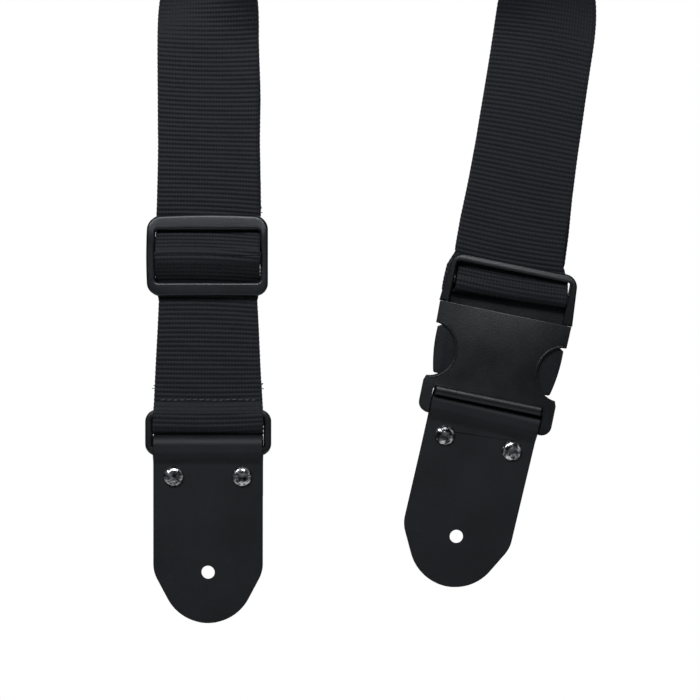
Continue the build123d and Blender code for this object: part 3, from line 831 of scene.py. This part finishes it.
def finished(name, mesh, material):
    """Makes a smooth-shaded piece out of a finished mesh."""
    bmesh.ops.recalc_face_normals(mesh, faces=mesh.faces)
    for face in mesh.faces:
        face.smooth = True
    data = bpy.data.meshes.new(name)
    mesh.to_mesh(data)
    mesh.free()
    data.materials.append(material)
    piece = bpy.data.objects.new(name, data)
    bpy.context.collection.objects.link(piece)
    return piece


def dome(side):
    """Half the housing's thickness at a place across its width."""
    rise = wall_middle - wall_edge
    radius = (ear_side**2 + rise**2) / (2 * rise)
    return math.sqrt(radius**2 - side**2) - radius + wall_middle


rim_radius = 0.00045
rim_sink = 0.0001
rim_steps = 40
rim_reach = 84               # degrees each way from the cut-out's deepest place
rim_side = 0.0327
rim_depth = 0.0128
rim_half_height = 0.0140
rims = bmesh.new()
for side in (-1, 1):
    for face_side in (-1, 1):
        line = []
        for step in range(rim_steps + 1):
            angle = math.radians(-rim_reach + 2 * rim_reach * step / rim_steps)
            x = side * (rim_side - rim_depth * math.cos(angle))
            drop = crown_start + rim_half_height * math.sin(angle)
            y = face_side * (crown(dome(x), drop) - rim_sink)
            line.append(mouth + buckle_right * x + buckle_up * drop + Vector((0, y, 0)))
        tube(rims, line, [rim_radius] * len(line))
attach(finished("cutout_rims", rims, shaded_buckle_plastic), "buckle_female")

bosses = bmesh.new()
for side in (-1, 1):
    ends = [bar_middle + buckle_right * side * reach for reach in (0.0272, 0.0276, 0.0290)]
    tube(bosses, ends, [0.0026, 0.0031, 0.0032], 24)
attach(finished("bar_bosses", bosses, shaded_buckle_plastic), "buckle_male")

# Leather ends: black smooth cowhide 2.4 mm thick, die-cut, folded over its bar and riveted.
# The surface has a fine grain and a cloudy, satin sheen. A short cut above each button hole
# lets the strap button's head through.
leather = bpy.data.materials.new("black_leather")
leather.use_nodes = True
tree = leather.node_tree
shade = tree.nodes["Principled BSDF"]
shade.inputs["Specular IOR Level"].default_value = 0.30
where = node(tree, "ShaderNodeTexCoord")
pores = node(tree, "ShaderNodeTexVoronoi", Scale=1500.0)
creases = node(tree, "ShaderNodeTexNoise", Scale=260.0, Detail=6.0, Roughness=0.65)
cloud = node(tree, "ShaderNodeTexNoise", Scale=38.0, Detail=5.0, Roughness=0.6)
tint = two_tones(tree, (0.0047, 0.0050, 0.0064), (0.0082, 0.0087, 0.0106), 0.3, 0.72)
sheen = node(tree, "ShaderNodeMapRange")
sheen.inputs["To Min"].default_value = 0.50
sheen.inputs["To Max"].default_value = 0.62
grain = node(tree, "ShaderNodeMath", "MULTIPLY_ADD", _1=0.6)
relief = node(tree, "ShaderNodeBump", Strength=0.35, Distance=0.00009)
join(
    tree,
    (where.outputs["Object"], pores.inputs["Vector"]),
    (where.outputs["Object"], creases.inputs["Vector"]),
    (where.outputs["Object"], cloud.inputs["Vector"]),
    (cloud.outputs["Fac"], tint.inputs[0]),
    (tint.outputs["Color"], shade.inputs["Base Color"]),
    (cloud.outputs["Fac"], sheen.inputs["Value"]),
    (sheen.outputs["Result"], shade.inputs["Roughness"]),
    (pores.outputs["Distance"], grain.inputs[0]),
    (creases.outputs["Fac"], grain.inputs[2]),
    (grain.outputs[0], relief.inputs["Height"]),
    (relief.outputs["Normal"], shade.inputs["Normal"]),
)


swollen = 0.022              # how far down from the fold the leather is spread
half_cut = 0.0003            # reach of the cut's two sides
leather_edge = 0.026
hole_reach = 0.0045
hole_start = 0.055


def leather_piece(name, node_name, axis, fold, swell, body):
    """A leather end, a little swollen at its fold, its cut closed up to a knife's width."""
    across, along_up = axis

    def close_cut(point):
        aside = (point - fold).dot(across)
        if abs(aside) < half_cut:
            point -= across * aside * 0.8
        depth = (fold - point).dot(along_up)
        if abs(aside) > leather_edge and depth < swollen:
            point += across * math.copysign(swell * (1 - depth / swollen), aside)
        return point

    def at_hole(point):
        beside = abs((point - fold).dot(across))
        return beside < hole_reach and (fold - point).dot(along_up) > hole_start

    piece = from_frame(name, node_name, 0.0006, 3, leather, 50, (), close_cut, at_hole)
    even = piece.modifiers.new("even_shading", "WEIGHTED_NORMAL")
    even.weight = 100
    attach(piece, body)


left_top = Vector((left_x, 0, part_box("left_leather")[1].z))
leather_piece("left_leather_end", "left_leather", (right, up), left_top, 0.00008, "left_end")
tab_lean = math.radians(13.2)
fold_above_bar = 0.0064
tab_right = Vector((math.cos(tab_lean), 0, -math.sin(tab_lean)))
tab_up = Vector((math.sin(tab_lean), 0, math.cos(tab_lean)))
right_top = Vector(joints["right_end_swing"]["pos_m"]) + tab_up * fold_above_bar
leather_piece("right_leather_end", "right_leather", (tab_right, tab_up), right_top, 0.00045, "right_end")

# Rivets: double-cap rivets of nickel-plated brass, two through each leather end. A post on the
# back cap is driven up into the domed front cap, and the polished domes are a little dented.
nickel = bpy.data.materials.new("polished_nickel")
nickel.use_nodes = True
tree = nickel.node_tree
shade = tree.nodes["Principled BSDF"]
shade.inputs["Metallic"].default_value = 1.0
where = node(tree, "ShaderNodeTexCoord")
dent_and_glint_noise = node(tree, "ShaderNodeTexNoise", Scale=480.0, Detail=2.0, Roughness=0.5)
# The same noise paints the domes' colour in near-black and near-white patches: painted reflections and
# glints over the nickel's own colour.
nickel_with_painted_glints = two_tones(tree, (0.06, 0.06, 0.062), (0.95, 0.95, 0.93), 0.40, 0.62)
worn = node(tree, "ShaderNodeMapRange")
worn.inputs["To Min"].default_value = 0.10
worn.inputs["To Max"].default_value = 0.26
dent = node(tree, "ShaderNodeBump", Strength=0.7, Distance=0.00045)
join(
    tree,
    (where.outputs["Object"], dent_and_glint_noise.inputs["Vector"]),
    (dent_and_glint_noise.outputs["Fac"], nickel_with_painted_glints.inputs[0]),
    (nickel_with_painted_glints.outputs["Color"], shade.inputs["Base Color"]),
    (dent_and_glint_noise.outputs["Fac"], worn.inputs["Value"]),
    (worn.outputs["Result"], shade.inputs["Roughness"]),
    (dent_and_glint_noise.outputs["Fac"], dent.inputs["Height"]),
    (dent.outputs["Normal"], shade.inputs["Normal"]),
)
for end in ("left", "right"):
    for place_name in ("inner", "outer"):
        for part in ("cap", "post"):
            name = f"{end}_rivet_{place_name}_{part}"
            piece = from_frame(f"{name}_piece", name, 0.00012, 2, nickel)
            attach(piece, f"{end}_end")
